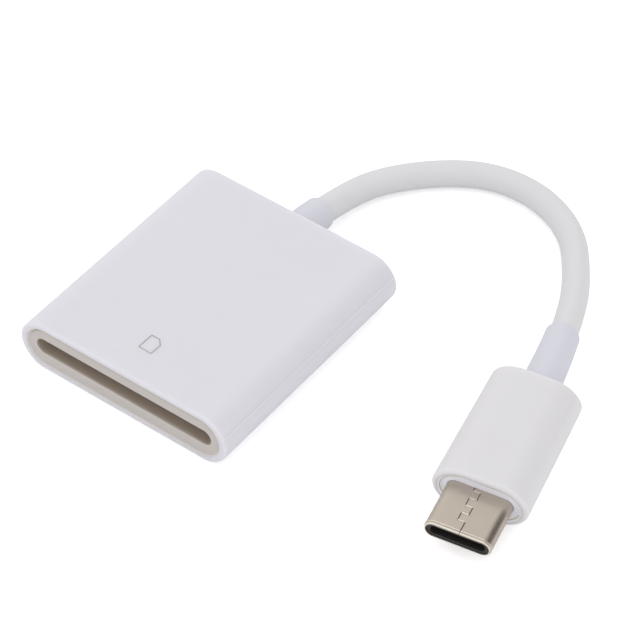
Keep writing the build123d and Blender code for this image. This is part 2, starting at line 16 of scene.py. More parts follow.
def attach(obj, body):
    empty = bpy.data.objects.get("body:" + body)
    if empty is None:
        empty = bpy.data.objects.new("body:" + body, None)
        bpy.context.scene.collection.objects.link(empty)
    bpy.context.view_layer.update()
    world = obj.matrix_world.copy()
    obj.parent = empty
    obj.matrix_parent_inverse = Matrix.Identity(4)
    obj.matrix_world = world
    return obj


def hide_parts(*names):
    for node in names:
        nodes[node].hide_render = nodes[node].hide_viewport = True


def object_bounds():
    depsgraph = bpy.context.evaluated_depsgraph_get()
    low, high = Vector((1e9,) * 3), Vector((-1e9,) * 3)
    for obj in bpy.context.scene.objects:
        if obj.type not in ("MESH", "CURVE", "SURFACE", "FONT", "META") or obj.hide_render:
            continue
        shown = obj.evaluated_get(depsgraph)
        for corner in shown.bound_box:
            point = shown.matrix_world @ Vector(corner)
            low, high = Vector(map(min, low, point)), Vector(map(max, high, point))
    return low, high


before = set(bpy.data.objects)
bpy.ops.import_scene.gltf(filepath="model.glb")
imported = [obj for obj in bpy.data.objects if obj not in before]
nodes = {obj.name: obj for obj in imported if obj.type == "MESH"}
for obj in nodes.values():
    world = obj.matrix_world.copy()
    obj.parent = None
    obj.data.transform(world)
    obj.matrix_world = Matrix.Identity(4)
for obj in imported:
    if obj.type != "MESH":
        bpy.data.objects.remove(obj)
cad_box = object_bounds()
scene = bpy.context.scene
MM = 0.001
print("nodes", len(nodes), "box in mm", [[round(x / MM, 2) for x in corner] for corner in cad_box])

# %% [markdown]
# ## Camera
# The photograph was taken with a long lens from above the right front corner. The direction,
# the roll and the lens were solved from the outlines of the housing and the plug, in the part's
# own frame. A camera looks along its own minus Z axis, so its three axes are written straight
# into its matrix, which is surer than aiming it with angles and a constraint.

# %% Place the camera
view_azimuth = math.radians(35.963)
view_elevation = math.radians(45.585)
view_roll = math.radians(0.94)
view_distance = 381.093 * MM
aim_right = 13.227 * MM
aim_up = 1.381 * MM
focal_pixels = 3141.847
picture_pixels = 640

backward = Vector((
    math.sin(view_azimuth) * math.cos(view_elevation),
    -math.cos(view_azimuth) * math.cos(view_elevation),
    math.sin(view_elevation),
))
level_right = Vector((math.cos(view_azimuth), math.sin(view_azimuth), 0))
level_up = backward.cross(level_right)
right = math.cos(view_roll) * level_right + math.sin(view_roll) * level_up
upward = math.cos(view_roll) * level_up - math.sin(view_roll) * level_right

camera_data = bpy.data.cameras.new("photo_camera")
camera_data.sensor_width = 36
camera_data.lens = focal_pixels * camera_data.sensor_width / picture_pixels
camera_data.clip_start = 0.01
camera = bpy.data.objects.new("photo_camera", camera_data)
camera_axes = Matrix((right, upward, backward)).transposed().to_4x4()
camera_place = right * aim_right + upward * aim_up + backward * view_distance
camera.matrix_world = Matrix.Translation(camera_place) @ camera_axes
scene.collection.objects.link(camera)
scene.camera = camera
print("lens", round(camera_data.lens, 1), "mm at", [round(x, 3) for x in camera.location])

# %% [markdown]
# ## Cable
# The cable is a round jacket of soft elastomer. It leaves the housing level, sinks to the table,
# turns back in one wide loop and rises a little into the plug. A cable has no corners, so it is
# one NURBS curve whose control points are the corners of the route. The order and the end rule
# are set after the points are there, because otherwise the curve stays a chain of straight runs.
# The points carry the radius and the bevel multiplies it by one, because Blender measures the box
# of a curve from the radius of its points.

# %% Draw the cable as one smooth curve
cable_radius = 1.725 * MM
cable_route = np.array([
    (0.0, 22.198, 3.054),
    (0.0, 27.314, 1.966),
    (1.8, 32.2, 2.0),
    (6.4, 38.0, 1.8),
    (12.4, 42.0, 1.8),
    (19.6, 42.5, 1.8),
    (26.5, 39.2, 2.0),
    (31.3, 32.8, 2.5),
    (34.527, 26.899, 3.370),
    (36.063, 22.351, 3.342),
]) * MM

cable_curve = bpy.data.curves.new("cable_jacket", "CURVE")
cable_curve.dimensions = "3D"
cable_line = cable_curve.splines.new("NURBS")
cable_line.points.add(len(cable_route) - 1)
cable_line.points.foreach_set("co", np.column_stack((cable_route, np.ones(len(cable_route)))).ravel())
cable_line.points.foreach_set("radius", np.full(len(cable_route), cable_radius))
cable_line.order_u = 3
cable_line.use_endpoint_u = True
cable_line.resolution_u = 16
cable_line.use_smooth = True
cable_curve.bevel_depth = 1.0
cable_curve.bevel_resolution = 12
cable_curve.use_fill_caps = True
cable_jacket = bpy.data.objects.new("cable_jacket", cable_curve)
scene.collection.objects.link(cable_jacket)

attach(cable_jacket, "root")
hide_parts("cable")

# %% [markdown]
# ## Helpers for finishes
# A finish starts from a colour chosen on a screen, which is stored with the screen's own curve.
# Shaders need linear light, so one function undoes that curve. A second one adds a node, sets
# it, and links it, which keeps each finish below readable as a short list of steps.

# %% Colour and node helpers
def linear(code):
    """Linear RGBA of an sRGB hex code: ((c + 0.055) / 1.055) to the power 2.4, or c / 12.92 when dark."""
    channels = np.array([int(code[i:i + 2], 16) for i in (1, 3, 5)]) / 255
    light = np.where(channels > 0.04045, ((channels + 0.055) / 1.055) ** 2.4, channels / 12.92)
    return (*light.tolist(), 1.0)


def add(tree, kind, inputs=None, **settings):
    """Add a shader node, set its properties, and fill each input with a value or link it to a socket."""
    made = tree.nodes.new("ShaderNode" + kind)
    for name, value in settings.items():
        setattr(made, name, value)
    for name, value in (inputs or {}).items():
        if isinstance(value, bpy.types.NodeSocket):
            tree.links.new(value, made.inputs[name])
        else:
            made.inputs[name].default_value = value
    return made


def new_finish(name):
    """An empty material with its output node; returns the material, its tree and the output."""
    finish = bpy.data.materials.new(name)
    finish.use_nodes = True
    tree = finish.node_tree
    tree.nodes.clear()
    return finish, tree, add(tree, "OutputMaterial")


def wear(finish, *names):
    """Give a finish to CAD nodes, or to new pieces, in place of what they had."""
    for name in names:
        piece = nodes.get(name) or bpy.data.objects[name]
        piece.data.materials.clear()
        piece.data.materials.append(finish)


print("white", linear("#FFFFFF"), "mid grey", round(linear("#808080")[0], 3))

# %% [markdown]
# ## Moulded plastics
# The housing, the bezel, the plug cover and the cap are injection-moulded. A polished mould gives
# a smooth skin with a broad soft highlight. The melt cools unevenly, so the colour drifts a little
# over some millimetres and the gloss with it. Dust leaves a few faint specks. The pattern is solid
# noise in object coordinates, because it needs no unwrapping and stays put on every side.

# %% A recipe for moulded plastic
speck_spacing = 2.6 * MM
speck_edge = 0.035
speck_core = 0.02
gloss_swing = 0.03


def moulded_plastic(
    name, colour, shade, gloss,
    drift_mm=9.0, skin_mm=0.35, skin_depth=0.004, specks=0.0, depth_mm=0.0, inner=None,
):
    """Plastic that drifts from colour to shade over drift_mm, with a skin of skin_mm by skin_depth.

    specks is the strength of the dust, depth_mm is how far light soaks in, and inner is a colour of
    painted shade with the two places along Y between which it takes over.
    """
    finish, tree, output = new_finish(name)
    place = add(tree, "TexCoord").outputs["Object"]
    drift = add(tree, "TexNoise", {
        "Vector": place,
        "Scale": 1 / (drift_mm * MM),
        "Detail": 3.0,
        "Roughness": 0.5,
    })
    tint = add(tree, "Mix", {
        "Factor": drift.outputs["Fac"],
        "A": linear(colour),
        "B": linear(shade),
    }, data_type="RGBA").outputs["Result"]
    if specks:
        dust = add(tree, "TexVoronoi", {"Vector": place, "Scale": 1 / speck_spacing, "Randomness": 1.0})
        grain = add(tree, "MapRange", {
            "Value": dust.outputs["Distance"],
            "From Min": speck_edge,
            "From Max": speck_core,
            "To Min": 0.0,
            "To Max": specks,
        })
        tint = add(tree, "Mix", {
            "Factor": grain.outputs["Result"],
            "A": tint,
            "B": linear("#8C8780"),
        }, data_type="RGBA").outputs["Result"]
    # Painted shade: along Y the colour turns to inner, deeper into a recess where less light comes.
    if inner:
        painted_shade_colour, painted_shade_start, painted_shade_end = inner
        inside = add(tree, "MapRange", {
            "Value": add(tree, "SeparateXYZ", {"Vector": place}).outputs["Y"],
            "From Min": painted_shade_start,
            "From Max": painted_shade_end,
        })
        tint = add(tree, "Mix", {
            "Factor": inside.outputs["Result"],
            "A": tint,
            "B": linear(painted_shade_colour),
        }, data_type="RGBA").outputs["Result"]
    polish = add(tree, "MapRange", {
        "Value": drift.outputs["Fac"],
        "From Min": 0.3,
        "From Max": 0.7,
        "To Min": gloss - gloss_swing,
        "To Max": gloss + gloss_swing,
    })
    skin = add(tree, "TexNoise", {"Vector": place, "Scale": 1 / (skin_mm * MM), "Detail": 2.0})
    bump = add(tree, "Bump", {"Height": skin.outputs["Fac"], "Strength": 0.25, "Distance": skin_depth * MM})
    shader = add(tree, "BsdfPrincipled", {
        "Base Color": tint,
        "Roughness": polish.outputs["Result"],
        "Normal": bump.outputs["Normal"],
        "IOR": 1.53,
        "Subsurface Weight": 0.6 if depth_mm else 0.0,
        "Subsurface Radius": (1.0, 0.92, 0.86),
        "Subsurface Scale": depth_mm * MM,
    })
    tree.links.new(shader.outputs["BSDF"], output.inputs["Surface"])
    return finish


print("specks", round(speck_spacing / MM, 1), "mm apart")

# %% Mix the moulded plastics
housing_front = cad_box[0][1]
bezel_recess = 0.22 * MM
bezel_face = housing_front + bezel_recess
# Painted shade for the slot: browner from just behind the bezel's face to about half a millimetre in.
slot_painted_shade = ("#B6A899", bezel_face + 0.06 * MM, bezel_face + 0.48 * MM)

# A polished mould: cool white, with a soft wide highlight and edges that glow a little.
housing_white = moulded_plastic(
    "polished_moulded_white_polycarbonate", "#DDDCE2", "#DBDAE0", 0.32, specks=0.25, depth_mm=1.1
)
# Another mould and another batch: a shade warmer and slightly duller.
cover_white = moulded_plastic(
    "moulded_warm_white_polycarbonate", "#DCDCDE", "#DDDBDC", 0.36, drift_mm=6.0, depth_mm=1.1
)
# Nylon takes less polish: a flat, cool white, painted lighter than the cover round it to offset the shade of
# its recess.
cap_white_painted_light = moulded_plastic("moulded_cool_white_nylon_painted_light", "#EFF0F7", "#ECEDF4", 0.4, drift_mm=4.0)
# A dyed insert: warm grey, with painted shade that turns it browner on the walls of the slot, where little
# light comes.
bezel_grey = moulded_plastic(
    "moulded_warm_grey_polycarbonate", "#C8C3BE", "#C5C0BA", 0.38,
    drift_mm=5.0, depth_mm=0.5, inner=slot_painted_shade,
)
# Glass fibres roughen the skin: a dull black.
socket_black = moulded_plastic(
    "moulded_black_glass_filled_nylon", "#2A2927", "#232220", 0.55, drift_mm=3.0, skin_depth=0.01
)
wear(housing_white, "housing_sleeve")
wear(cover_white, "plug_cover")
wear(cap_white_painted_light, "plug_front_cap")
wear(bezel_grey, "slot_bezel")
wear(socket_black, "socket_base", "plug_insulator")
print("plastics", [m.name for m in (housing_white, cover_white, cap_white_painted_light, bezel_grey, socket_black)])

# %% [markdown]
# ## Soft elastomer
# The cable jacket and the two strain reliefs are thermoplastic elastomer. The jacket is extruded
# and the reliefs are moulded over it. Both are matter than the housing, with a fine orange-peel
# skin and a faint sheen, because the soft surface is microscopically rough.

# %% Mix the elastomers
def soft_elastomer(name, colour, shade, drift_mm, skin_mm):
    """Elastomer that drifts from colour to shade over drift_mm, with an orange-peel skin of skin_mm."""
    finish, tree, output = new_finish(name)
    place = add(tree, "TexCoord").outputs["Object"]
    drift = add(tree, "TexNoise", {"Vector": place, "Scale": 1 / (drift_mm * MM), "Detail": 3.0})
    body = add(tree, "Mix", {
        "Factor": drift.outputs["Fac"],
        "A": linear(colour),
        "B": linear(shade),
    }, data_type="RGBA")
    skin = add(tree, "TexNoise", {"Vector": place, "Scale": 1 / (skin_mm * MM), "Detail": 2.0})
    bump = add(tree, "Bump", {"Height": skin.outputs["Fac"], "Strength": 0.3, "Distance": 0.008 * MM})
    shader = add(tree, "BsdfPrincipled", {
        "Base Color": body.outputs["Result"],
        "Roughness": 0.48,
        "Normal": bump.outputs["Normal"],
        "IOR": 1.48,
        "Sheen Weight": 0.05,
        "Sheen Roughness": 0.4,
    })
    tree.links.new(shader.outputs["BSDF"], output.inputs["Surface"])
    return finish


# Extruded: a neutral white whose fine skin runs evenly along the cable.
jacket_white = soft_elastomer("extruded_white_elastomer", "#DADADC", "#D7D7D9", 8.0, 0.22)
# Moulded over the jacket from another compound: visibly bluer beside it.
relief_white = soft_elastomer("moulded_bluish_white_elastomer", "#D4D5DD", "#D1D2DB", 4.0, 0.25)
wear(jacket_white, "cable_jacket", "cable")
wear(relief_white, "housing_strain_relief", "plug_strain_relief")
print("elastomers", jacket_white.name, relief_white.name)

# %% [markdown]
# ## Printed card symbol
# A small outline of a card with one cut corner is pad-printed near the slot, so that the user knows
# what goes in and which way round. The ink lies a few micrometres proud. Here it is a closed ring: the
# corners of the outline are moved out and in by half the line width, along the mitre of their two
# sides, and the two loops are joined into a thin band with a top, a bottom and two edges.

# %% Helpers for new pieces
def closed_grid(grid):
    """Vertices and faces of a grid that closes on itself in both directions."""
    rows, columns = grid.shape[:2]
    index = np.arange(rows * columns).reshape(rows, columns)
    beside = np.roll(index, -1, axis=1)
    quads = np.stack((index, beside, np.roll(beside, -1, axis=0), np.roll(index, -1, axis=0)), axis=-1)
    return grid.reshape(-1, 3), quads.reshape(-1, 4).tolist()


def add_piece(name, vertices, faces, slot_name, finish):
    """Make a mesh piece at the origin, riding the root, and give it its finish; slot_name is not used."""
    mesh = bpy.data.meshes.new(name)
    mesh.from_pydata(vertices.tolist(), [], faces)
    piece = bpy.data.objects.new(name, mesh)
    scene.collection.objects.link(piece)
    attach(piece, "root")
    wear(finish, name)
    return piece


print("a ring of 3 by 4 points has", len(closed_grid(np.zeros((3, 4, 3)))[1]), "faces")

# %% Print the symbol on the housing
def ring_band(corners, line_width, low, high):
    """Band round an outline: corner +- (n1 + n2) / (1 + n1.n2) * line_width / 2, at heights low and high."""
    along = np.roll(corners, -1, axis=0) - corners
    along /= np.linalg.norm(along, axis=1, keepdims=True)
    normal = np.column_stack((along[:, 1], -along[:, 0]))
    before = np.roll(normal, 1, axis=0)
    mitre = (normal + before) / (1 + np.sum(normal * before, axis=1, keepdims=True))
    outer = corners + mitre * line_width / 2
    inner = corners - mitre * line_width / 2
    loops = [(outer, low), (outer, high), (inner, high), (inner, low)]
    grid = np.stack([np.column_stack((loop, np.full(len(loop), z))) for loop, z in loops])
    return closed_grid(grid)


symbol_corners = np.array([
    (-0.81, -12.54),
    (1.01, -12.59),
    (1.09, -10.89),
    (0.38, -10.14),
    (-0.78, -10.15),
]) * MM
symbol_line = 0.12 * MM
housing_top = cad_box[1][2]
ink_proud = 0.006 * MM
# Pad printing lays a thin, slightly uneven film: a soft grey line without gloss.
ink_grey = moulded_plastic("pad_printed_grey_ink", "#A5A2A0", "#9A9795", 0.5, drift_mm=0.4, skin_mm=0.08)
symbol_shape = ring_band(symbol_corners, symbol_line, housing_top - ink_proud, housing_top + ink_proud)
card_symbol = add_piece("card_symbol", *symbol_shape, "housing_plastic", ink_grey)
print("symbol", len(symbol_corners), "corners,", len(card_symbol.data.polygons), "faces")

# %% [markdown]
# ## Parting beads
# The mould of the housing opens along its rounded sides, and where its halves meet a hair of plastic
# escapes. Polishing leaves a bead that is just visible as a fine line from front to rear. Its profile
# is half an ellipse on the curved side, carried straight along the housing.

# %% Raise the two parting beads
def capped_grid(grid):
    """Vertices and faces of a grid that closes across and has a flat cap at each end."""
    rows, columns = grid.shape[:2]
    vertices, faces = closed_grid(grid)
    last = (rows - 1) * columns
    caps = [list(range(columns - 1, -1, -1)), list(range(last, last + columns))]
    return vertices, faces[:last] + caps


def side_bead(side, height, half_width, proud, start, end, steps=9):
    """Bead on the rounded side, on the right for side 1 and on the left for -1, from start to end.

    Radius R + proud * cos(a) at the angle t + half_width / R * sin(a), with t the angle of its height.
    """
    a = np.linspace(-np.pi / 2, np.pi / 2, steps)
    tilt = math.acos((height - side_radius) / side_radius) + half_width / side_radius * np.sin(a)
    reach = np.append(side_radius + proud * np.cos(a), side_radius - 2 * proud)
    tilt = np.append(tilt, tilt.mean())
    x = side * (housing_half_width - side_radius + reach * np.sin(tilt))
    z = side_radius + reach * np.cos(tilt)
    profile = np.column_stack((x, np.zeros_like(x), z))
    ends = np.array([(0, start, 0), (0, end, 0)])[::side]
    grid = ends[:, None, :] + profile[None, :, :]
    return capped_grid(grid)


housing_half_width = -cad_box[0][0]
side_radius = housing_top / 2
bead_height = 5.13 * MM
bead_half_width = 0.08 * MM
bead_proud = 0.003 * MM
bead_inset = 0.35 * MM
bead_end = -housing_front - bead_inset
# The same plastic, painted a little lighter than the side as a highlight along the bead.
bead_painted_highlight = moulded_plastic("polycarbonate_mould_line_painted_highlight", "#E9E8ED", "#E7E6EB", 0.32)
for side, side_name in ((1, "right"), (-1, "left")):
    bead_shape = side_bead(side, bead_height, bead_half_width, bead_proud, -bead_end, bead_end)
    add_piece(f"parting_bead_{side_name}", *bead_shape, "housing_plastic", bead_painted_highlight)
print("beads at", round(bead_height / MM, 2), "mm,", round(2 * bead_end / MM, 1), "mm long")

# %% [markdown]
# ## Glue round the bezel
# The bezel is glued into its opening. The glue fills the groove round it, and a thin line along its
# top joint is coloured brown as painted shade, where the rim overhangs. Each joint is a small
# profile carried round the outline of its opening, which is flat above and below with half an ellipse
# at both ends. The points of a profile are pairs in millimetres: how far outward from the outline,
# and how far behind the face.

# %% Fill the joint of the bezel
def outline(width, height, end_depth, turn):
    """Points (s * (width / 2 - d) + d * cos(t), height / 2 * sin(t)) and their outward normals.

    d is the depth of the elliptic ends and s is the sign of cos(t).
    """
    flat = np.sign(np.cos(turn)) * (width / 2 - end_depth)
    points = np.column_stack((flat + end_depth * np.cos(turn), height / 2 * np.sin(turn)))
    normals = np.column_stack((np.cos(turn) * height / 2, np.sin(turn) * end_depth))
    return points, normals / np.linalg.norm(normals, axis=1, keepdims=True)


def round_outline(points, normals, profile):
    """Grid (point + outward * normal, behind) of a profile of (outward, behind) pairs round an outline."""
    outward, behind = np.array(profile).T * MM
    across = points + outward[:, None, None] * normals
    depth = np.broadcast_to(behind[:, None], across.shape[:2])
    return np.stack((across[..., 0], depth, across[..., 1]), axis=-1)


turn_steps = 120
full_turn = (np.arange(turn_steps) + 0.5) * 2 * np.pi / turn_steps
bezel_middle = np.array((0, bezel_face, housing_top / 2))
bezel_opening = (29.1 * MM, 5.84 * MM, 2.92 * MM)

# Clear glue over pale plastic: it only softens the groove.
pale_glue = moulded_plastic("cured_pale_adhesive", "#D8D4D2", "#D4D0CD", 0.4, drift_mm=2.0)
bezel_profile = [(0.02, 0.23), (0.02, -0.13), (-0.05, -0.07), (-0.13, -0.015), (-0.18, 0.02), (-0.18, 0.23)]
bezel_ring = bezel_middle + round_outline(*outline(*bezel_opening, full_turn), bezel_profile)
add_piece("bezel_joint", *closed_grid(bezel_ring), "bezel_plastic", pale_glue)

# A brownish line along the top joint: painted shade under the overhanging rim.
painted_shade_glue = moulded_plastic("cured_adhesive_painted_shade", "#B9AC9C", "#B1A392", 0.4, drift_mm=1.5)
top_turn = np.radians(np.linspace(35, 148, 58))
bead_turn = np.linspace(-np.pi / 2, np.pi / 2, 7)
top_inset = 0.3
top_half_width = 0.095
top_proud = 0.012
top_depth = 0.04
top_profile = [
    *zip(top_half_width * np.sin(bead_turn) - top_inset, -top_proud * np.cos(bead_turn)),
    (-top_inset, top_depth),
]
top_grid = bezel_middle + round_outline(*outline(*bezel_opening, top_turn), top_profile).swapaxes(0, 1)
add_piece("bezel_top_painted_shade", *capped_grid(top_grid), "bezel_plastic", painted_shade_glue)
print("bezel joint", [round(size / MM, 2) for size in bezel_opening[:2]], "mm")

# %% [markdown]
# ## Cap of the plug
# The cap has a thin flange round the shell that stands nearly as far forward as the cover's rim. It
# spans the outlines of its opening and of the shell. White glue makes a shallow slope from the rim to
# the flange, and at both ends of the cap it has gone brown and draws a fine line. The plug lies turned
# and leaned, so its pieces are drawn along its own axes and moved there together.

# %% Fill the joint of the cap
def on_plug(grid):
    """Points given along the plug's own axes, turned, leaned and moved to where the plug lies."""
    return plug_origin + grid @ plug_axes


plug_turn = math.radians(12.67)
plug_lean = math.radians(3.2)
plug_origin = np.array((42.74, -4.98, 3.313)) * MM
turn_cos, turn_sin = math.cos(plug_turn), math.sin(plug_turn)
lean_cos, lean_sin = math.cos(plug_lean), math.sin(plug_lean)
plug_axes = np.array((
    (turn_cos * lean_cos, turn_sin * lean_cos, -lean_sin),
    (-turn_sin, turn_cos, 0),
    (turn_cos * lean_sin, turn_sin * lean_sin, lean_cos),
))
cap_opening = (10.05 * MM, 4.8 * MM, 3.05 * MM)
shell_section = (8.25 * MM, 2.4 * MM, 1.2 * MM)
cap_outline = outline(*cap_opening, full_turn)

# Filled white glue, painted lighter than the cover to offset the shade of the recess between rim and cap.
white_glue_painted_light = moulded_plastic("cured_white_adhesive_painted_light", "#F8F9FF", "#F4F5FB", 0.4, drift_mm=2.0)
cap_profile = [
    (0.06, 0.7), (0.24, 0.03), (0.16, 0.025), (-0.1, 0.15), (-0.32, 0.275), (-0.37, 0.31), (-0.37, 0.7),
]
cap_ring = on_plug(round_outline(*cap_outline, cap_profile))
cap_joint = add_piece("cap_joint", *closed_grid(cap_ring), "cap_plastic", white_glue_painted_light)

# Aged glue: a thin tan line.
brown_glue = moulded_plastic("cured_browned_adhesive", "#CDBDA6", "#C6B59C", 0.4, drift_mm=1.5)
line_profile = [(-0.13, 0.45), (-0.13, 0.155), (-0.03, 0.105), (-0.03, 0.45)]
for side_name, first, last in (("left", 115, 245), ("right", -80, -10)):
    line_turn = np.radians(np.linspace(first, last, 40))
    line_grid = on_plug(round_outline(*outline(*cap_opening, line_turn), line_profile)).swapaxes(0, 1)
    cap_line = add_piece(f"cap_glue_line_{side_name}", *capped_grid(line_grid), "cap_plastic", brown_glue)

flange_outer = [(-0.03, 0.65), (-0.03, 0.38), (-0.1, 0.3)]
flange_inner = [(0.03, 0.3), (0.03, 0.65)]
flange_rings = (
    round_outline(*cap_outline, flange_outer),
    round_outline(*outline(*shell_section, full_turn), flange_inner),
)
flange_shape = closed_grid(on_plug(np.concatenate(flange_rings)))
# The flange wears the cap's white, painted lighter to offset the shade of the recess.
cap_flange = add_piece("cap_flange", *flange_shape, "cap_plastic", cap_white_painted_light)

# %% [markdown]
# ## Metals
# The plug's shell is steel sheet with a nickel plating that is slightly yellow. It was rolled and
# then tumbled, so fine lines run along it and smear the reflections. The contacts are gold-plated
# and the shield is tinned steel. For a metal the base colour is the colour of its reflection.

# %% Mix the metals
line_stretch = 0.04
tone_drift = 3.0 * MM
polish_swing = 0.05


def sheet_metal(name, colour, shade, roughness, line_mm, turn=0.0):
    """Metal with rolling lines line_mm apart along the turned Y axis, and a slow drift of tone.

    Real lines are some hundredths of a millimetre apart, too fine for a picture, and are drawn coarser.
    """
    finish, tree, output = new_finish(name)
    place = add(tree, "TexCoord").outputs["Object"]
    turned = add(tree, "Mapping", {
        "Vector": place,
        "Rotation": (0, 0, -turn),
        "Scale": (1, line_stretch, 1),
    })
    lines = add(tree, "TexNoise", {
        "Vector": turned.outputs["Vector"],
        "Scale": 1 / (line_mm * MM),
        "Detail": 4.0,
    })
    drift = add(tree, "TexNoise", {"Vector": place, "Scale": 1 / tone_drift, "Detail": 2.0})
    tone = add(tree, "Math", {0: drift.outputs["Fac"], 1: lines.outputs["Fac"]}, operation="MULTIPLY")
    body = add(tree, "Mix", {
        "Factor": tone.outputs["Value"],
        "A": linear(colour),
        "B": linear(shade),
    }, data_type="RGBA")
    polish = add(tree, "MapRange", {
        "Value": lines.outputs["Fac"],
        "From Min": 0.3,
        "From Max": 0.7,
        "To Min": roughness - polish_swing,
        "To Max": roughness + polish_swing,
    })
    bump = add(tree, "Bump", {"Height": lines.outputs["Fac"], "Strength": 0.1, "Distance": 0.003 * MM})
    shader = add(tree, "BsdfPrincipled", {
        "Base Color": body.outputs["Result"],
        "Metallic": 1.0,
        "Roughness": polish.outputs["Result"],
        "Normal": bump.outputs["Normal"],
    })
    tree.links.new(shader.outputs["BSDF"], output.inputs["Surface"])
    return finish


# Tumbled plating: a warm grey whose reflections are soft and drawn out along the plug.
shell_nickel = sheet_metal("tumbled_nickel_plated_steel", "#C6BCB0", "#BCB1A4", 0.37, 0.09, plug_turn)
# Stamped from bare sheet: greyer and a little sharper.
latch_steel = sheet_metal("stamped_stainless_steel", "#B4B3B0", "#A6A5A2", 0.3, 0.1, plug_turn)
# Hot tin leaves a soft, slightly yellow shine.
shield_steel = sheet_metal("tinned_steel_sheet", "#BDBBB4", "#ADABA4", 0.35, 0.15)
# Gold over bronze: a bright yellow that stays smooth.
contact_gold = sheet_metal("gold_plated_bronze", "#D9B66A", "#CBA558", 0.25, 0.08)
wear(shell_nickel, "plug_shell")
wear(latch_steel, "plug_latch")
wear(shield_steel, "socket_shield", "crystal")
wear(contact_gold, "socket_contacts", "socket_switch_springs", "plug_upper_contacts", "plug_lower_contacts")
print("metals", [m.name for m in (shell_nickel, latch_steel, shield_steel, contact_gold)])

# %% [markdown]
# ## Highlights painted on the shell
# The edges of the sheet catch the light, and here that light is painted in a lighter nickel. The
# narrowed mouth gets a bright ring, the step behind it a second one, and the cross edges where the
# interlocking tabs were pressed together get short bright bars. The rings are profiles carried round
# the shell's outline, a few micrometres proud, and the bars are flat boxes, made all at once from one
# array of corners.

# %% Brighten the mouth
def split_outline(points, normals, middle, gap):
    """The outline as an open line, from one side of a gap in its flat top round to the other side."""
    top = points[:, 1].max()
    ends = np.array(((middle - gap / 2, top), (middle + gap / 2, top)))
    upright = np.array(((0.0, 1.0),))
    line = np.concatenate((ends[:1], points, ends[1:]))
    return line, np.concatenate((upright, normals, upright))


# The plating's colour again, but lighter and sharper: painted highlights on the edges.
nickel_painted_highlight = sheet_metal("nickel_edge_painted_highlight", "#ECE4D8", "#E2D9CC", 0.28, 0.09, plug_turn)
seam_middle = 0.14 * MM
seam_gap = 0.1 * MM
mouth_place = np.array((0, -6.65 * MM, 0))
shell_turn = full_turn + np.pi / 2
shell_outline = split_outline(*outline(*shell_section, shell_turn), seam_middle, seam_gap)
mouth_profile = [
    (-0.19, 0.05), (-0.19, -0.004), (-0.15, -0.004), (-0.076, 0.078), (-0.076, 0.15), (-0.12, 0.15),
]
ridge_profile = [
    (-0.01, 0.29), (0.005, 0.32), (0.008, 0.36), (0.005, 0.4), (-0.01, 0.43), (-0.05, 0.36),
]
mouth_grid = on_plug(mouth_place + round_outline(*shell_outline, mouth_profile)).swapaxes(0, 1)
ridge_grid = on_plug(mouth_place + round_outline(*shell_outline, ridge_profile)).swapaxes(0, 1)
mouth_ring = add_piece("shell_mouth_ring", *capped_grid(mouth_grid), "shell_nickel", nickel_painted_highlight)
lip_ridge = add_piece("shell_lip_ridge", *capped_grid(ridge_grid), "shell_nickel", nickel_painted_highlight)
print("edges", len(mouth_ring.data.polygons), "and", len(lip_ridge.data.polygons), "faces")

# %% Brighten the seam
def flat_bars(across, along, heights):
    """Boxes with corners at every pair of across, along and heights, one box for each row of along."""
    x, y, z = np.meshgrid(across, (0, 1), heights, indexing="ij")
    depth = along[:, y.ravel()]
    sides = np.broadcast_to(x.ravel(), depth.shape)
    levels = np.broadcast_to(z.ravel(), depth.shape)
    corners = np.stack((sides, depth, levels), axis=-1)
    box = np.array([(0, 1, 3, 2), (4, 6, 7, 5), (0, 4, 5, 1), (2, 3, 7, 6), (0, 2, 6, 4), (1, 5, 7, 3)])
    faces = box[None, :, :] + 8 * np.arange(len(along))[:, None, None]
    return corners.reshape(-1, 3) * MM, faces.reshape(-1, 4).tolist()


first_bar = -4.85
bar_pitch = 1.18
bar_count = 5
bar_across = (-0.75, 0.12)
bar_reach = (-0.11, 0.04)
bar_heights = (1.15, 1.203)
bar_middle = first_bar + bar_pitch * np.arange(bar_count)
bar_along = bar_middle[:, None] + np.array(bar_reach)
bar_corners, bar_faces = flat_bars(bar_across, bar_along, bar_heights)
seam_bars = add_piece("shell_seam_bars", on_plug(bar_corners), bar_faces, "shell_nickel", nickel_painted_highlight)
print("seam with", bar_count, "bars")

# %% [markdown]
# That is everything at its far end, together with the edges and the glue added above.

# %% [markdown]
# ## Parts that stay inside
# The boards, the chip, the small parts and the wires are closed in, but a part for a library may
# be cut open later, so they get their own finishes: wavy green laminate, matt epoxy, ceramic and
# coloured wire insulation. They reuse the plastic recipe with other values.

# %% Finish the inner parts
# Solder mask over woven glass: a glossy green with a slight waviness.
laminate_green = moulded_plastic(
    "solder_masked_glass_laminate", "#1F6B45", "#185A39", 0.35, drift_mm=1.2, skin_mm=0.4, skin_depth=0.02
)
# Filled epoxy from a matt mould: black without a highlight.
chip_epoxy = moulded_plastic(
    "moulded_black_epoxy", "#2B2B2D", "#242426", 0.6, drift_mm=1.0, skin_mm=0.1, skin_depth=0.01
)
# Fired ceramic: an even, dull tan.
capacitor_tan = moulded_plastic("fired_tan_ceramic", "#A98B66", "#9A7C58", 0.5, drift_mm=0.6, skin_mm=0.1)
# Glass glaze over ceramic: black and shiny.
resistor_black = moulded_plastic(
    "glazed_black_ceramic", "#303034", "#28282B", 0.3, drift_mm=0.6, skin_mm=0.1
)
wear(laminate_green, "main_board", "plug_board")
wear(chip_epoxy, "controller_chip")
wear(capacitor_tan, "board_capacitors")
wear(resistor_black, "board_resistors", "plug_resistor")

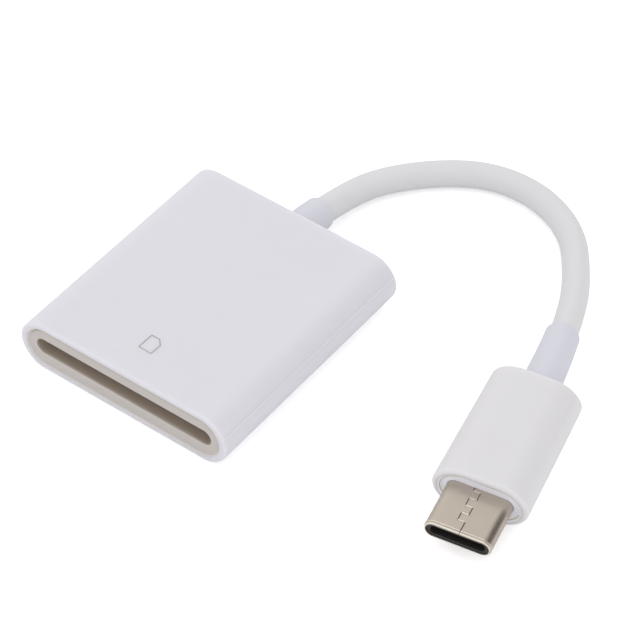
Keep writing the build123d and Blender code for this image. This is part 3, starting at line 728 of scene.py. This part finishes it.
# Extruded insulation: strong colours with a waxy shine.
wire_colours = {
    "red": ("#B0261F", "#9C1F1A"),
    "white": ("#DCDBD6", "#D2D1CB"),
    "green": ("#2C7A3F", "#246A35"),
    "black": ("#2A2A2B", "#222223"),
}
for colour, tones in wire_colours.items():
    insulation_name = f"extruded_{colour}_wire_insulation"
    insulation = moulded_plastic(insulation_name, *tones, 0.4, drift_mm=1.5, skin_mm=0.15)
    wear(insulation, f"board_wire_{colour}", f"plug_wire_{colour}")
print("wires in", len(wire_colours), "colours")

# %% [markdown]
# ## Light
# The photograph was lit by a tent: light comes evenly from all around, a little more from above
# and from the left. Here the world gives the even part and one wide soft lamp gives the rest.
# Camera, glossy and transmission rays see the world at plain white, as the photo's ground is.

# %% Set the light
scene.view_settings.view_transform = "Standard"

world = bpy.data.worlds.new("photo_tent")
world.use_nodes = True
sky = world.node_tree
sky.nodes.clear()
sky_path = add(sky, "LightPath")
seen_glossy = add(sky, "Math", {
    0: sky_path.outputs["Is Camera Ray"],
    1: sky_path.outputs["Is Glossy Ray"],
}, operation="MAXIMUM")
seen = add(sky, "Math", {
    0: seen_glossy.outputs["Value"],
    1: sky_path.outputs["Is Transmission Ray"],
}, operation="MAXIMUM")
even_light = add(sky, "Background", {"Color": linear("#F8F7F8"), "Strength": 1.045})
plain_white = add(sky, "Background", {"Color": linear("#FFFFFF"), "Strength": 1.0})
sky_mix = add(sky, "MixShader", {
    "Fac": seen.outputs["Value"],
    1: even_light.outputs["Background"],
    2: plain_white.outputs["Background"],
})
add(sky, "OutputWorld", {"Surface": sky_mix.outputs["Shader"]})
scene.world = world

lamp_data = bpy.data.lights.new("tent_top", "AREA")
lamp_data.shape = "SQUARE"
lamp_data.size = 0.5
lamp_data.energy = 0.25
lamp = bpy.data.objects.new("tent_top", lamp_data)
lamp.location = (-0.1, -0.12, 0.6)
lamp_aim = Vector((0.02, 0.01, 0))
lamp.rotation_euler = (lamp_aim - lamp.location).to_track_quat("-Z", "Y").to_euler()
scene.collection.objects.link(lamp)
print("lamp", lamp_data.energy, "W,", lamp_data.size, "m wide")

# %% [markdown]
# ## Dark card
# Polished metal shows what stands round it. In an even tent it looks like pale plastic, so a
# photographer puts a dark card beside it, and the round side of the shell turns dark. Here the
# card is seen by reflections only, and it takes no light from the part.

# %% Stand a dark card behind the plug
def stage_sheet(name, corners):
    """A flat sheet of four corners that belongs to the studio and not to the part."""
    mesh = bpy.data.meshes.new(name)
    mesh.from_pydata(corners, [], [(0, 1, 2, 3)])
    sheet = bpy.data.objects.new(name, mesh)
    scene.collection.objects.link(sheet)
    return sheet


def matt_sheet(name, colour, shade, fibre):
    """A matt finish that drifts from colour to shade over fibre; returns it, its tree, output and shader."""
    finish, tree, output = new_finish(name)
    place = add(tree, "TexCoord").outputs["Object"]
    grain = add(tree, "TexNoise", {"Vector": place, "Scale": 1 / fibre})
    tone = add(tree, "Mix", {
        "Factor": grain.outputs["Fac"],
        "A": linear(colour),
        "B": linear(shade),
    }, data_type="RGBA")
    matt = add(tree, "BsdfDiffuse", {"Color": tone.outputs["Result"]})
    tree.links.new(matt.outputs["BSDF"], output.inputs["Surface"])
    return finish, tree, output, matt


unit_square = ((-1, -1), (1, -1), (1, 1), (-1, 1))
flag_middle = Vector((0.186, 0.355, 0.12))
flag_half = (0.23, 0.26)
flag_aim = Vector((0.0435, -0.008, 0.003))
flag_axes = (flag_aim - flag_middle).to_track_quat("Z", "Y").to_matrix()
flag_corners = [
    flag_middle + flag_axes @ Vector((x * flag_half[0], y * flag_half[1], 0))
    for x, y in unit_square
]
flag = stage_sheet("dark_flag", flag_corners)
flag.visible_camera = False
flag.visible_diffuse = False
flag.visible_shadow = False
flag.visible_transmission = False

# Pressed fibres swallow the light: a dark grey without any shine.
felt = matt_sheet("grey_felt", "#494642", "#514E4A", 1.43 * MM)[0]
wear(felt, "dark_flag")
print("card", [round(2 * half, 2) for half in flag_half], "m")

# %% [markdown]
# ## Ground
# The ground of the photograph is burnt out to white. Here it is a pale sheet of paper that still
# takes the shadow of the part. Only for the camera is it lifted, so that it meets the white of the
# world without an edge, and the lift puts no more light on the part.

# %% Lay the ground
ground_half = 3.0
ground_lift = 0.42
ground_corners = [(x * ground_half, y * ground_half, 0) for x, y in unit_square]
stage_sheet("pale_ground", ground_corners)

# Uncoated paper: a plain matt white with a faint grain.
paper, paper_tree, paper_out, paper_matt = matt_sheet("white_paper_ground", "#F4F4F5", "#F2F2F3", 1.11 * MM)
paper_path = add(paper_tree, "LightPath")
paper_lift = add(paper_tree, "Emission", {"Color": linear("#FFFFFF"), "Strength": ground_lift})
paper_bright = add(paper_tree, "AddShader", {
    0: paper_matt.outputs["BSDF"],
    1: paper_lift.outputs["Emission"],
})
paper_mix = add(paper_tree, "MixShader", {
    "Fac": paper_path.outputs["Is Camera Ray"],
    1: paper_matt.outputs["BSDF"],
    2: paper_bright.outputs["Shader"],
})
paper_tree.links.new(paper_mix.outputs["Shader"], paper_out.inputs["Surface"])
wear(paper, "pale_ground")
print("ground", 2 * ground_half, "m wide")
